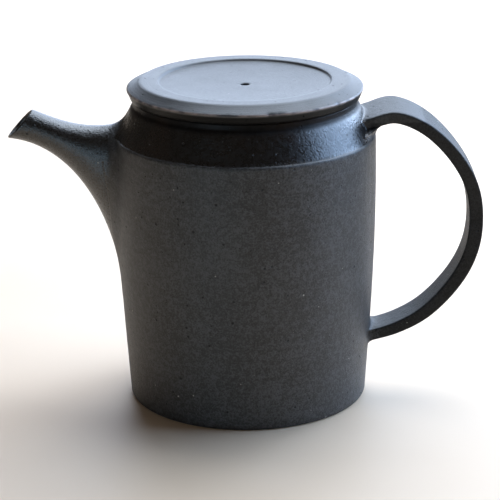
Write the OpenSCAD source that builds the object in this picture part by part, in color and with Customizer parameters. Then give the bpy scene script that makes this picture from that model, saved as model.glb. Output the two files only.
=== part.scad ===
// Lidded stoneware teapot: a thrown, straight sided pot with a sloping shoulder, a tall flared
// spout luted to one side, a flat strap handle on the other, a strainer behind the spout and a
// loose flat lid.
// Origin: centre of the flat base. +Z up, the handle on +X and the spout on -X.

/* [Pot] */
// Radius of the wall where it meets the base
foot_r = 46.9; // [44:0.1:48]
// Largest radius of the wall
belly_r = 50.8; // [49:0.1:52]
// Height at which the wall is widest
belly_z = 88; // [70:1:100]
// Height of the edge between the wall and the shoulder
arris_z = 105.4; // [100:0.1:110]
// Radius of the rounding on that edge
arris_round = 1; // [0.5:0.1:2]
// Radius of the short neck under the lid
neck_r = 43.4; // [42:0.1:45]
// Height at which the shoulder turns into the neck
neck_z = 117.2; // [113:0.1:118]
// Height of the rim that the lid rests on
rim_z = 120.4; // [119:0.1:122]
// Radius of the mouth inside the rim
mouth_r = 37.4; // [35:0.1:39]
// Thickness of the wall
wall_t = 3.6; // [3:0.1:4.5]
// Thickness of the floor
floor_t = 5; // [4:0.1:7]

/* [Lid] */
// Radius of the lid's rim, its widest part
lid_r = 45.8; // [45:0.1:47]
// Radius of the lid's underside, inside the undercut below the rim
lid_under_r = 44.5; // [43:0.1:45]
// Height of the rim above the underside
lid_rim_h = 3.8; // [3:0.1:4.5]
// Whole thickness of the lid
lid_t = 6.5; // [5:0.1:8]
// Radius at which the bevel reaches the flat ring on top
lid_ring_r = 40.4; // [39:0.1:44]
// Radius of the sunk middle of the lid
recess_r = 33.5; // [30:0.1:36]
// Depth of the sunk middle
recess_depth = 0.9; // [0.5:0.1:1.5]
// How much lower the middle of the lid lies than the edge of its recess
lid_dish = 1.2; // [0:0.1:1.8]
// Diameter of the steam hole in the middle of the lid
vent_d = 3.4; // [2:0.1:5]
// Outer radius of the locating flange under the lid
flange_r = 36.7; // [34:0.1:36.9]
// Depth of the flange below the lid
flange_h = 7; // [5:0.1:10]
// Thickness of the flange
flange_t = 3.2; // [2.5:0.1:4]

/* [Spout] */
// Wall thickness of the spout where it meets the pot
spout_t = 2.8; // [2:0.1:3.2]
// Wall thickness of the spout at its mouth
spout_tip_t = 1.9; // [1.6:0.1:2.6]
// Half width of the spout at its mouth
spout_tip_w = 6.4; // [5.5:0.1:7.5]
// Half width of the spout where it meets the pot
spout_root_w = 13; // [11:0.1:15]
// How much the clay rolled round the foot of the spout stands out
spout_luting_w = 3.2; // [2.5:0.1:4]

/* [Strainer] */
// Radius of the strainer dome
strainer_r = 17; // [15:0.1:18]
// Thickness of the dome
strainer_t = 2.4; // [1.8:0.1:3]
// Diameter of each strainer hole
strainer_hole_d = 2.2; // [1.5:0.1:2.6]
// Height of the middle of the strainer and of the hole in the wall
pour_z = 82; // [78:1:88]
// Width of the hole in the wall behind the spout
pour_w = 18; // [12:1:20]
// Height of the straight part of that hole
pour_h = 6; // [0:1:8]

/* [Handle] */
// Width of the strap at its upper root
strap_top_w = 28; // [24:0.1:30]
// Width of the strap at its outermost point
strap_mid_w = 13.8; // [12:0.1:16]
// Width of the strap at its foot
strap_foot_w = 16; // [12:0.1:18]
// Thickness of the strap at its ends
strap_end_t = 4.2; // [3.8:0.1:5]
// Thickness of the strap a little below its outermost point
strap_mid_t = 5.6; // [4:0.1:6]

/* [Hidden] */
$fn = 96;

// Angle of the shoulder below the horizontal
shoulder_angle = atan((neck_z - arris_z) / (wall_radius(arris_z) - neck_r));
// Radius of the cavity at the top of the wall, under the shoulder
cavity_top_r = wall_radius(arris_z) - wall_t;
// Number of straight steps along each curved outline
wall_steps = 12;
spout_rings = 18;
spout_sides = 24;
// Ring at which the clay rolled round the foot of the spout begins
spout_luting_start = 12;
strap_steps = 4;
strap_width_steps = 16;
// Steps of the strap's path that the clay at its two ends covers
strap_luting_steps = 7;
strap_luting_foot_steps = 3;
// Height of the roll of clay above and below the strap's foot
foot_roll = 3;
// Cutters run this far past the surfaces they cut
past = 1;

// Side view of the spout, as distance from the axis and height: curve handles of its top and
// bottom edges, from the mouth to the pot
spout_top = [[82.5, 115.6], [72, 111], [61, 106], [44, 111]];
spout_bottom = [[92.6, 104.6], [73, 103], [54, 84], [48.6, 42]];
// Side view of the middle of the strap, from the shoulder to the foot
strap_path = [[39, 108.8], [48, 111.9], [58, 114.1], [69.5, 109], [80, 98.5], [87.2, 86],
    [89.7, 73], [88.2, 59], [82, 46], [71, 33.8], [59, 26.8], [46, 23]];
// Heights of the top of the strap and of its outermost point
strap_top_z = 117;
strap_mid_z = 73;
// The strainer's centre lies on the inside of the wall
strainer_x = wall_radius(pour_z) - wall_t;
// The dome is pressed this far into the wall
strainer_seat = 0.3;
// Strainer holes: one in the middle, then rings of holes, at these angles from the middle
strainer_ring_tilt = [18, 36, 54];
strainer_ring_count = [6, 12, 16];

// Outer radius of the wall at height z
function wall_radius(z) = foot_r + (belly_r - foot_r) * sin(90 * z / belly_z);

// Point at t along the curve with four handles p
function curve(p, t) = pow(1 - t, 3) * p[0] + 3 * t * pow(1 - t, 2) * p[1]
    + 3 * pow(t, 2) * (1 - t) * p[2] + pow(t, 3) * p[3];

// Point at t, from 0 to 1, on the smooth curve between b and c with neighbours a and d
function spline(a, b, c, d, t) = 0.5 * (2 * b + (c - a) * t
    + (2 * a - 5 * b + 4 * c - d) * pow(t, 2) + (3 * b - a - 3 * c + d) * pow(t, 3));

// Smooth curve through all of p, with n steps in each span
function smooth_path(p, n) = let (last = len(p) - 1) [
    for (i = [0 : last - 1]) for (k = [0 : n - 1])
        spline(p[max(i - 1, 0)], p[i], p[i + 1], p[min(i + 2, last)], k / n),
    p[last]];

// Arc of radius r about c from angle a0 to a1
function arc(c, r, a0, a1, n) = [for (i = [0 : n])
    let (a = a0 + (a1 - a0) * i / n) c + r * [cos(a), sin(a)]];

// Closed skin over a row of flat rings with the same number of points
module skin(rings) {
    n = len(rings[0]);
    last = len(rings) - 1;
    points = [for (ring = rings) each ring];
    sides = [for (i = [0 : last - 1]) for (j = [0 : n - 1])
        let (a = i * n + j, b = i * n + (j + 1) % n)
        each [[a, b, b + n], [a, b + n, a + n]]];
    start = [for (j = [n - 1 : -1 : 0]) j];
    end = [for (j = [0 : n - 1]) last * n + j];
    polyhedron(concat(points), concat(sides, [start, end]));
}

// Outline of the pot's outside from the base up to the rim
function outer_outline() = let (
    rounding = arc([wall_radius(arris_z) - arris_round, arris_z - arris_round * 0.6],
        arris_round, 0, 90 - (90 - shoulder_angle) * 0.6, 3))
    concat(
        [for (i = [0 : wall_steps]) let (z = (arris_z - arris_round) * i / wall_steps)
            [wall_radius(z), z]],
        [rounding[1], rounding[2], rounding[3]],
        [[neck_r + 0.5, neck_z], [neck_r, neck_z + 1], [neck_r, rim_z - 0.8],
        [neck_r - 0.8, rim_z]]);

// The pot as if it were solid, used to trim what is luted to it
module pot_outside() {
    rotate_extrude() polygon(concat([[0, 0]], outer_outline(), [[0, rim_z]]));
}

// The hollow inside the pot
module pot_cavity(grow = 0) {
    corner = 9;
    r = cavity_top_r + grow;
    rotate_extrude() polygon(concat(
        [[0, floor_t - grow]],
        arc([foot_r - wall_t + grow - corner + 0.6, floor_t - grow + corner], corner, -90, 0, 5),
        [for (i = [3 : wall_steps - 1]) let (z = (arris_z - arris_round) * i / wall_steps)
            [wall_radius(z) - wall_t + grow, z]],
        [[r, arris_z - 3], [mouth_r + grow, neck_z - 3], [mouth_r + grow, rim_z + past],
        [0, rim_z + past]]));
}

// Hole in the wall behind the spout
module pour_hole() {
    translate([0, 0, pour_z]) rotate([0, -90, 0]) linear_extrude(belly_r + past) union() {
        for (side = [-1, 1]) translate([side * pour_h / 2, 0]) circle(d = pour_w);
        square([pour_h, pour_w], center = true);
    }
}

module pot_body() {
    color([0.17, 0.16, 0.15]) difference() {
        pot_outside();
        pot_cavity();
        pour_hole();
    }
}

// One strainer hole along the dome's own axis, leaned by tilt and turned round that axis by turn
module strainer_hole(tilt, turn) {
    rotate([0, 0, turn]) rotate([0, tilt, 0]) translate([0, 0, strainer_r / 2])
        cylinder(d = strainer_hole_d, h = strainer_r);
}

module strainer() {
    skirt = strainer_r / 2;
    inner_r = strainer_r - strainer_t;
    color([0.15, 0.14, 0.13]) difference() {
        intersection() {
            translate([0, 0, pour_z - strainer_r - past])
                cylinder(r = strainer_x + strainer_seat, h = 2 * (strainer_r + past));
            translate([-strainer_x, 0, pour_z]) rotate([0, 90, 0]) rotate_extrude()
                polygon(concat([[strainer_r, -skirt]], arc([0, 0], strainer_r, 0, 90, 8),
                    arc([0, 0], inner_r, 90, 0, 8), [[inner_r, -skirt]]));
        }
        translate([-strainer_x, 0, pour_z]) rotate([0, 90, 0]) union() {
            strainer_hole(0, 0);
            for (ring = [0 : len(strainer_ring_tilt) - 1]) {
                count = strainer_ring_count[ring];
                for (k = [0 : count - 1]) {
                    strainer_hole(strainer_ring_tilt[ring], 360 * (k + 0.5) / count);
                }
            }
        }
    }
}

// Half width of the spout at t, which widens late, like a bell
function spout_half_width(t) = spout_tip_w + (spout_root_w - spout_tip_w) * pow(t, 2.2);

// Ring of the spout at t, drawn in by inset; the widest part of a wide ring is above its middle
function spout_ring(t, inset) = let (
    high = curve(spout_top, t),
    low = curve(spout_bottom, t),
    along = (high - low) / norm(high - low),
    middle = (high + low) / 2,
    half_h = norm(high - low) / 2 - inset,
    half_w = spout_half_width(t) - inset,
    egg = 0.28 * t)
    [for (j = [0 : spout_sides - 1]) let (
        a = 360 * j / spout_sides,
        p = middle + along * half_h * cos(a))
        [-p[0], half_w * sin(a) * (1 + egg * cos(a)), p[1]]];

// Wall thickness of the spout at t
function spout_wall(t) = spout_tip_t + (spout_t - spout_tip_t) * min(1, 2 * t);

// The spout as if it were solid
module spout_shape() {
    skin([for (i = [0 : spout_rings]) spout_ring(i / spout_rings, 0)]);
}

// The passage through the spout, run out past its mouth
module spout_passage() {
    mouth = spout_ring(0, spout_tip_t);
    step = mouth[0] - spout_ring(0.05, spout_tip_t)[0];
    skin(concat([[for (p = mouth) p + 2 * step]],
        [for (i = [0 : spout_rings]) let (t = i / spout_rings) spout_ring(t, spout_wall(t))]));
}

module spout() {
    color([0.18, 0.17, 0.16]) difference() {
        spout_shape();
        spout_passage();
        pot_outside();
    }
}

// Closed skin of a sleeve between matching rows of outer and inner rings
module sleeve(outer, inner) {
    n = len(outer[0]);
    last = len(outer) - 1;
    shift = n * len(outer);
    points = [for (ring = concat(outer, inner)) each ring];
    faces = [for (i = [0 : last - 1]) for (j = [0 : n - 1])
        let (a = i * n + j, b = i * n + (j + 1) % n)
        each [[a, b, b + n], [a, b + n, a + n],
            [shift + b, shift + a, shift + b + n], [shift + b + n, shift + a, shift + a + n]]];
    ends = [for (j = [0 : n - 1]) let (k = (j + 1) % n, e = last * n)
        each [[k, j, shift + j], [k, shift + j, shift + k],
            [e + j, e + k, shift + e + j], [e + k, shift + e + k, shift + e + j]]];
    polyhedron(points, concat(faces, ends));
}

module spout_luting() {
    rings = [spout_luting_start : spout_rings];
    span = spout_rings - spout_luting_start;
    color([0.18, 0.17, 0.16]) difference() {
        sleeve([for (i = rings)
                spout_ring(i / spout_rings, -0.3 - spout_luting_w * pow((i - spout_luting_start) / span, 2))],
            [for (i = rings) spout_ring(i / spout_rings, 0)]);
        pot_outside();
    }
}

// Thickness of the strap at share u of its length
function strap_thickness(u) = strap_end_t + (strap_mid_t - strap_end_t) * sin(180 * pow(u, 1.5));

// Edge of the strap in the side view: side is 1 for the outer edge and -1 for the inner one
function strap_edge(side) = let (
    path = smooth_path(strap_path, strap_steps),
    end = len(path) - 1)
    [for (i = [0 : end]) let (
        ahead = path[min(i + 1, end)] - path[max(i - 1, 0)],
        out = [-ahead[1], ahead[0]] / norm(ahead))
        path[i] + side * out * strap_thickness(i / end) / 2];

// Width of the strap at height z
function strap_width(z) = z > strap_mid_z
    ? strap_mid_w + (strap_top_w - strap_mid_w) * pow((z - strap_mid_z) / (strap_top_z - strap_mid_z), 1.3)
    : strap_mid_w + (strap_foot_w - strap_mid_w) * (strap_mid_z - z) / strap_mid_z;

// The strap's outline seen from the end, from the foot to the top
module strap_front() {
    right = [for (i = [0 : strap_width_steps])
        let (z = strap_top_z * i / strap_width_steps) [strap_width(z) / 2, z]];
    left = [for (i = [strap_width_steps : -1 : 0])
        let (z = strap_top_z * i / strap_width_steps) [-strap_width(z) / 2, z]];
    polygon(concat(right, left));
}

// Turns a side view, drawn as distance from the axis and height, into a slab of width w
module slab(w) {
    rotate([90, 0, 0]) linear_extrude(w, center = true) children();
}

module handle() {
    inner = strap_edge(-1);
    color([0.18, 0.17, 0.16]) difference() {
        intersection() {
            slab(strap_top_w + 2 * past)
                polygon(concat(strap_edge(1), [for (i = [len(inner) - 1 : -1 : 0]) inner[i]]));
            rotate([90, 0, 90]) linear_extrude(2 * belly_r) strap_front();
        }
        pot_outside();
    }
}

// Clay worked into the corner under the upper root
module handle_top_luting() {
    under = strap_edge(-1);
    last = strap_luting_steps;
    tip = under[last];
    foot = [wall_radius(arris_z) - 1.5, arris_z + 1.2];
    bend = [foot[0] + 2, under[last - 3][1] - 0.6];
    color([0.18, 0.17, 0.16]) difference() {
        slab(strap_top_w - 5) polygon(concat([for (i = [0 : last]) under[i]],
            [for (k = [1 : 6]) let (u = k / 6)
                pow(1 - u, 2) * tip + 2 * u * (1 - u) * bend + pow(u, 2) * foot],
            [[foot[0] - 12, foot[1]]]));
        pot_outside();
    }
}

// Clay worked round the foot: one roll above the strap and one below it
module handle_foot_luting() {
    inner = strap_edge(-1);
    outer = strap_edge(1);
    end = len(inner) - 1;
    first = end - strap_luting_foot_steps;
    color([0.18, 0.17, 0.16]) difference() {
        for (edge = [[inner, 1], [outer, -1]]) {
            tip = edge[0][first];
            root = edge[0][end - 1];
            wall = [wall_radius(root[1]) + 0.3, root[1] + edge[1] * foot_roll];
            bend = root + [1, edge[1] * 0.7];
            slab(strap_foot_w - 1) polygon(concat([for (i = [end : -1 : first]) edge[0][i]],
                [for (k = [1 : 5]) let (u = k / 5)
                    pow(1 - u, 2) * tip + 2 * u * (1 - u) * bend + pow(u, 2) * wall],
                [[wall[0] - 4, wall[1]]]));
        }
        pot_outside();
    }
}

module lid_disc() {
    color([0.24, 0.24, 0.25]) translate([0, 0, rim_z]) difference() {
        rotate_extrude() polygon(concat([[0, 0], [lid_under_r, 0], [lid_under_r + 0.6, 0.8],
            [lid_r - 0.2, lid_rim_h - 0.9], [lid_r, lid_rim_h - 0.4], [lid_r - 0.1, lid_rim_h + 0.1],
            [lid_ring_r + 0.7, lid_t - 0.35], [lid_ring_r, lid_t], [recess_r, lid_t]],
            [for (i = [0 : 6]) let (u = i / 6) [(recess_r - 0.5) * (1 - u),
                lid_t - recess_depth - lid_dish * (1 - pow(1 - u, 2))]]));
        translate([0, 0, -past]) cylinder(d = vent_d, h = lid_t + 2 * past);
    }
}

module lid_flange() {
    color([0.2, 0.2, 0.2]) translate([0, 0, rim_z - flange_h]) difference() {
        cylinder(r = flange_r, h = flange_h);
        translate([0, 0, -past]) cylinder(r = flange_r - flange_t, h = flange_h + 2 * past);
    }
}

pot_body();
strainer();
spout();
spout_luting();
handle();
handle_top_luting();
handle_foot_luting();
lid_disc();
lid_flange();
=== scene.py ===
"""Blender model of a lidded stoneware teapot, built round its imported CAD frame.

The pot, its neck and its lid are turned pieces, the spout and the strap handle are swept pieces
whose ends are blended into the pot with rolls of clay, and every surface has a fired clay finish.
Lengths are in millimetres inside the classes and become metres where a mesh is made.
"""

import logging
import math
from dataclasses import dataclass, field
from enum import Enum
from typing import Callable, Sequence

import bmesh
import bpy
import numpy as np
from mathutils import Matrix, Vector


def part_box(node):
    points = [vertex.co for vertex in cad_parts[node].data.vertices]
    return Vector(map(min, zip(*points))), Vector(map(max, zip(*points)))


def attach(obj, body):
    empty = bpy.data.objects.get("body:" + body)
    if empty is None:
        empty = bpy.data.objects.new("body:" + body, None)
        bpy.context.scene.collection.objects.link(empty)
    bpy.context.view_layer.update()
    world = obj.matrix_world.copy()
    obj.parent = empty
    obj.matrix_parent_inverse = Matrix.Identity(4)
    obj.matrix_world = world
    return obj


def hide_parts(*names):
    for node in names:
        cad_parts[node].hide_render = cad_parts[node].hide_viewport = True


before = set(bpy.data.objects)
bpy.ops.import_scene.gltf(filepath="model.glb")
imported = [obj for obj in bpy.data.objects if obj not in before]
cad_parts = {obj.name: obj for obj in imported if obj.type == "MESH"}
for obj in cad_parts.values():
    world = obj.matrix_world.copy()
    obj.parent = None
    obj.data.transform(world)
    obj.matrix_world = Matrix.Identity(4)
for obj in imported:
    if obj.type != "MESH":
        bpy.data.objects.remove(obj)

Socket = bpy.types.NodeSocket
LOG = logging.getLogger("teapot")
MM = 0.001


class Slot(Enum):
    """Material slots of the record."""

    BODY = "dark_stoneware"
    INNER = "inner_stoneware"
    LID = "lid_stoneware"


class Body(Enum):
    """Moving bodies of the frame."""

    POT = "pot"
    LID = "lid"


# --- Plain geometry ---


def bezier(handles: Sequence[Sequence[float]], t: np.ndarray) -> np.ndarray:
    """Points on a cubic curve.

    Args:
        handles: The four control points.
        t: Shares of the curve, from 0 to 1.

    Returns:
        One point per share, as rows.
    """
    p = np.asarray(handles, float)
    t = np.asarray(t, float)[:, None]
    return (
        (1 - t) ** 3 * p[0]
        + 3 * t * (1 - t) ** 2 * p[1]
        + 3 * t**2 * (1 - t) * p[2]
        + t**3 * p[3]
    )


def smooth_path(points: Sequence[Sequence[float]], per_span: int) -> np.ndarray:
    """Catmull-Rom curve through a row of points.

    Args:
        points: The points that the curve passes.
        per_span: Steps between one point and the next.

    Returns:
        Points along the curve, as rows.
    """
    p = np.asarray(points, float)
    last = len(p) - 1
    rows = []
    for i in range(last):
        a, b, c, d = p[max(i - 1, 0)], p[i], p[i + 1], p[min(i + 2, last)]
        for k in range(per_span):
            t = k / per_span
            rows.append(
                0.5
                * (
                    2 * b
                    + (c - a) * t
                    + (2 * a - 5 * b + 4 * c - d) * t**2
                    + (3 * b - a - 3 * c + d) * t**3
                )
            )
    rows.append(p[last])
    return np.array(rows)


def arc(centre: tuple[float, float], radius: float, start: float, end: float, steps: int) -> list:
    """Points (x, y) on a circular arc from one angle to another, in degrees."""
    angles = np.radians(np.linspace(start, end, steps + 1))
    return [(centre[0] + radius * math.cos(a), centre[1] + radius * math.sin(a)) for a in angles]


def refine(outline: Sequence[Sequence[float]], longest: float) -> np.ndarray:
    """Cuts the long straight steps of an outline.

    Args:
        outline: The outline's points.
        longest: Longest step that stays, in millimetres.

    Returns:
        The outline with points added.
    """
    rows = [np.asarray(outline[0], float)]
    for point in outline[1:]:
        step = np.asarray(point, float) - rows[-1]
        count = max(1, math.ceil(float(np.linalg.norm(step)) / longest))
        start = rows[-1]
        rows.extend(start + step * (k + 1) / count for k in range(count))
    return np.array(rows)


def unit(vectors: np.ndarray) -> np.ndarray:
    """Vectors scaled to length 1, row by row."""
    return vectors / np.maximum(np.linalg.norm(vectors, axis=-1, keepdims=True), 1e-12)


def mesh_object(name: str, points: np.ndarray, faces: Sequence[Sequence[int]]) -> bpy.types.Object:
    """Makes an object from points in millimetres.

    Args:
        name: The object's name.
        points: Vertex positions, as rows.
        faces: Vertex numbers of each face.

    Returns:
        The new object, at the origin and in the scene.
    """
    mesh = bpy.data.meshes.new(name)
    mesh.from_pydata((np.asarray(points) * MM).tolist(), [], [list(f) for f in faces])
    mesh.validate()
    mesh.update()
    made = bpy.data.objects.new(name, mesh)
    bpy.context.scene.collection.objects.link(made)
    return made


def skin(rings: np.ndarray, capped: bool) -> tuple[np.ndarray, list]:
    """Closed skin over a row of rings.

    Args:
        rings: Array of rings by points by 3.
        capped: Closes each end with a flat cap. Without it the last ring joins the first.

    Returns:
        The points, as rows, and the faces.
    """
    rows, sides = rings.shape[:2]
    faces: list = [
        (i * sides + j, i * sides + (j + 1) % sides,
         (i + 1) % rows * sides + (j + 1) % sides, (i + 1) % rows * sides + j)
        for i in range(rows - 1 if capped else rows)
        for j in range(sides)
    ]
    if capped:
        faces.append(tuple(range(sides - 1, -1, -1)))
        faces.append(tuple((rows - 1) * sides + j for j in range(sides)))
    return rings.reshape(-1, 3), faces


def outward(piece: bpy.types.Object) -> bpy.types.Object:
    """Merges doubles and turns every face of a closed piece outwards."""
    work = bmesh.new()
    work.from_mesh(piece.data)
    bmesh.ops.remove_doubles(work, verts=work.verts, dist=1e-7)
    bmesh.ops.recalc_face_normals(work, faces=work.faces)
    if work.calc_volume(signed=True) < 0:
        bmesh.ops.reverse_faces(work, faces=work.faces)
    work.to_mesh(piece.data)
    work.free()
    return piece


def soften(piece: bpy.types.Object, angle: float = 38.0) -> bpy.types.Object:
    """Shades a piece smooth, with sharp edges where it turns by more than an angle in degrees."""
    piece.data.shade_smooth()
    piece.data.set_sharp_from_angle(angle=math.radians(angle))
    return piece


def swept(name: str, rings: np.ndarray, sharp: float, capped: bool = False) -> bpy.types.Object:
    """Makes a closed piece from its rings, with sharp edges above an angle in degrees."""
    return soften(outward(mesh_object(name, *skin(rings, capped))), sharp)


def cad_corners(node: str) -> tuple[np.ndarray, np.ndarray]:
    """Lowest and highest corner of a CAD node, in millimetres."""
    low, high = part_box(node)
    return np.round(np.array(low) / MM, 2), np.round(np.array(high) / MM, 2)


def baked(piece: bpy.types.Object) -> bpy.types.Object:
    """Turns a piece's modifiers into a plain mesh and removes them."""
    graph = bpy.context.evaluated_depsgraph_get()
    mesh = bpy.data.meshes.new_from_object(piece.evaluated_get(graph), depsgraph=graph)
    piece.modifiers.clear()
    piece.data = mesh
    mesh.name = piece.name
    return piece


# --- Finishes ---


@dataclass(frozen=True)
class Marks:
    """Round marks: size of the grid's cells, largest radius, and share of the cells with one."""

    spacing_mm: float
    radius_mm: float
    share: float


class Tree:
    """What the trees of a material and of Geometry Nodes have in common."""

    tree: bpy.types.NodeTree

    def link(self, source: object, target: Socket) -> None:
        """Joins a socket, or sets a plain value, on a target socket."""
        if isinstance(source, Socket):
            self.tree.links.new(source, target)
        else:
            target.default_value = source

    def math(self, operation: str, a: object, b: object = 0.0) -> Socket:
        """One arithmetic step between sockets or numbers."""
        made = self.tree.nodes.new("ShaderNodeMath")
        made.operation = operation
        self.link(a, made.inputs[0])
        self.link(b, made.inputs[1])
        return made.outputs[0]

    def add(self, a: object, b: object) -> Socket:
        """Sum of two values."""
        return self.math("ADD", a, b)

    def minus(self, a: object, b: object) -> Socket:
        """First value less the second."""
        return self.math("SUBTRACT", a, b)

    def times(self, a: object, b: object) -> Socket:
        """Product of two values."""
        return self.math("MULTIPLY", a, b)


class Shader(Tree):
    """A small helper that builds one material's node tree."""

    def __init__(self, name: str) -> None:
        """Starts a material with a Principled BSDF.

        Args:
            name: The material's name.
        """
        self.material = bpy.data.materials.new(name)
        self.material.use_nodes = True
        self.tree = self.material.node_tree
        self.surface = self.tree.nodes["Principled BSDF"]
        self.coords = self.tree.nodes.new("ShaderNodeTexCoord").outputs["Object"]

    def node(self, kind: str, **settings: object) -> bpy.types.Node:
        """Adds a node.

        Args:
            kind: The node's type name.
            **settings: Attributes to set on it.

        Returns:
            The new node.
        """
        made = self.tree.nodes.new(kind)
        for key, value in settings.items():
            setattr(made, key, value)
        return made

    def scaled(self, scale: Sequence[float]) -> Socket:
        """Object coordinates stretched by a scale along each axis."""
        mapping = self.node("ShaderNodeMapping")
        self.link(self.coords, mapping.inputs["Vector"])
        mapping.inputs["Scale"].default_value = tuple(scale)
        return mapping.outputs["Vector"]

    def places(self) -> tuple[Socket, Socket, Socket]:
        """Distance from the pot's axis, height, and distance towards the handle, in millimetres."""
        axis = self.node("ShaderNodeSeparateXYZ")
        self.link(self.coords, axis.inputs[0])
        squares = self.add(self.math("POWER", axis.outputs["X"], 2.0),
                           self.math("POWER", axis.outputs["Y"], 2.0))
        return (self.math("DIVIDE", self.math("SQRT", squares), MM),
                self.math("DIVIDE", axis.outputs["Z"], MM),
                self.math("DIVIDE", axis.outputs["X"], MM))

    def noise(self, size_mm: float, detail: float = 2.0, roughness: float = 0.5,
              stretch: Sequence[float] = (1, 1, 1)) -> Socket:
        """Noise whose features are about a given size.

        Args:
            size_mm: Size of a feature.
            detail: Number of finer layers.
            roughness: Strength of the finer layers.
            stretch: Factor on each axis, above 1 for finer along it.

        Returns:
            The noise value, about 0.3 to 0.7.
        """
        made = self.node("ShaderNodeTexNoise")
        self.link(self.scaled(stretch), made.inputs["Vector"])
        made.inputs["Scale"].default_value = 1 / (size_mm * MM)
        made.inputs["Detail"].default_value = detail
        made.inputs["Roughness"].default_value = roughness
        return made.outputs["Fac"]

    def band(self, value: object, low: float, high: float, to_low: float = 0.0,
             to_high: float = 1.0) -> Socket:
        """Maps a value from one range to another, smoothly and clamped.

        Args:
            value: The socket to map.
            low: Value that becomes to_low.
            high: Value that becomes to_high.
            to_low: Lower result.
            to_high: Upper result.

        Returns:
            The mapped value.
        """
        made = self.node("ShaderNodeMapRange", interpolation_type="SMOOTHSTEP")
        self.link(value, made.inputs["Value"])
        for key, number in (("From Min", low), ("From Max", high),
                            ("To Min", to_low), ("To Max", to_high)):
            made.inputs[key].default_value = number
        return made.outputs["Result"]

    def blend(self, share: object, first: object, second: object, kind: str = "FLOAT") -> Socket:
        """Mixes two numbers by a share, or two colours if the kind is RGBA."""
        made = self.node("ShaderNodeMix", data_type=kind)
        for key, value in (("Factor", share), ("A", first), ("B", second)):
            self.link(value, made.inputs[key])
        return made.outputs["Result"]

    def mix(self, share: object, first: object, second: object) -> Socket:
        """Mixes two colours by a share."""
        return self.blend(share, first, second, "RGBA")

    def near(self, value: object, centre: float, inner: float, outer: float) -> Socket:
        """1 within an inner distance of a centre, and 0 beyond an outer one."""
        gap = self.math("ABSOLUTE", self.minus(value, centre))
        return self.band(gap, inner, outer, 1, 0)

    def specks(self, marks: Marks) -> Socket:
        """Round specks of varied size in some cells of a random grid.

        Args:
            marks: Their spacing, size and number.

        Returns:
            1 in a speck and 0 outside it.
        """
        cells = self.node("ShaderNodeTexVoronoi", feature="F1")
        self.link(self.coords, cells.inputs["Vector"])
        cells.inputs["Scale"].default_value = 1 / (marks.spacing_mm * MM)
        parts = self.node("ShaderNodeSeparateColor")
        self.link(cells.outputs["Color"], parts.inputs["Color"])
        largest = marks.radius_mm / marks.spacing_mm
        reach = self.blend(parts.outputs["Green"], largest * 0.3, largest)
        inside = self.minus(reach, cells.outputs["Distance"])
        edge = self.band(inside, 0.0, largest * 0.35)
        chosen = self.math("LESS_THAN", parts.outputs["Red"], marks.share)
        return self.times(edge, chosen)

    def bump(self, height: object, depth_mm: float, strength: float = 1.0,
             before: Socket | None = None) -> Socket:
        """Adds relief.

        Args:
            height: Height from 0 to 1.
            depth_mm: Depth of the whole range.
            strength: Strength of the effect.
            before: Normal of the relief below this one.

        Returns:
            The new normal.
        """
        made = self.node("ShaderNodeBump")
        made.inputs["Strength"].default_value = strength
        made.inputs["Distance"].default_value = depth_mm * MM
        self.link(height, made.inputs["Height"])
        if before is not None:
            self.link(before, made.inputs["Normal"])
        return made.outputs["Normal"]


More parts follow.
